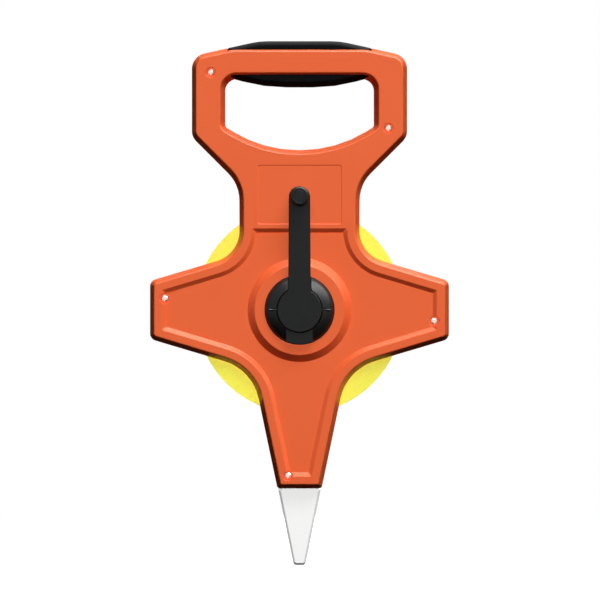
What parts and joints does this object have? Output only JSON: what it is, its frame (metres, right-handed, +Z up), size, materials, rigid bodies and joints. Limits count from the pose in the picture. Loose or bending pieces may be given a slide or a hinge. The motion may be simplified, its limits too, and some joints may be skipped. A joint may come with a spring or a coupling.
{
  "type": "surveyor tape reel",
  "caption": "Open-frame long tape reel: a cross-shaped two-half frame with a closed hand grip, a tape drum with a folding crank and knob, and a steel ground spike.",
  "frame": {"origin": "tip of the ground spike, on the plane where the two frame halves meet", "axes": "+Z up the handle, +Y along the reel's axis from the crank side to the back, +X to the right as seen from the crank side"},
  "size_m": [0.18, 0.066, 0.3158],
  "materials": {
    "orange_abs": "moulded, satin",
    "black_rubber": "moulded, matt",
    "black_nylon": "moulded, satin",
    "plated_steel": "bright plated",
    "zinc_screw": "zinc plated",
    "pin_steel": "bright drawn",
    "acetal": "natural",
    "yellow_tape": "coated fibreglass, satin"
  },
  "bodies": {
    "frame": {"front_frame": "orange_abs", "rear_frame": "orange_abs", "grip": "black_rubber", "ground_spike": "plated_steel", "front_screws": "zinc_screw", "rear_screws": "zinc_screw", "front_thrust_washer": "acetal", "rear_thrust_washer": "acetal"},
    "reel": {"crank_hub": "black_nylon", "drum_core": "black_nylon", "rear_hub": "black_nylon", "hub_screws": "zinc_screw", "tape_anchor_pin": "pin_steel", "tape_pack": "yellow_tape", "tape_lead": "yellow_tape", "end_clip": "pin_steel", "end_ring_pin": "pin_steel", "crank_hinge_pin": "pin_steel"},
    "crank": {"crank_arm": "black_nylon", "knob_pin": "pin_steel"},
    "knob": {"crank_knob": "black_nylon", "knob_cap": "black_nylon"},
    "tape_end": {"end_ring": "pin_steel"}
  },
  "joints": [
    {"name": "reel_spin", "type": "hinge", "parent": "frame", "child": "reel", "pos_m": [0, 0, 0.154], "axis": [0, 1, 0], "continuous": true},
    {"name": "crank_fold", "type": "hinge", "parent": "reel", "child": "crank", "pos_m": [0, -0.0236, 0.154], "axis": [1, 0, 0], "range_deg": [0, 155]},
    {"name": "knob_spin", "type": "hinge", "parent": "crank", "child": "knob", "pos_m": [0, -0.0236, 0.2216], "axis": [0, 1, 0], "continuous": true},
    {"name": "ring_swing", "type": "hinge", "parent": "reel", "child": "tape_end", "pos_m": [-0.06587, 0, 0.1527], "axis": [0, 1, 0], "range_deg": [-12, 20]}
  ]
}
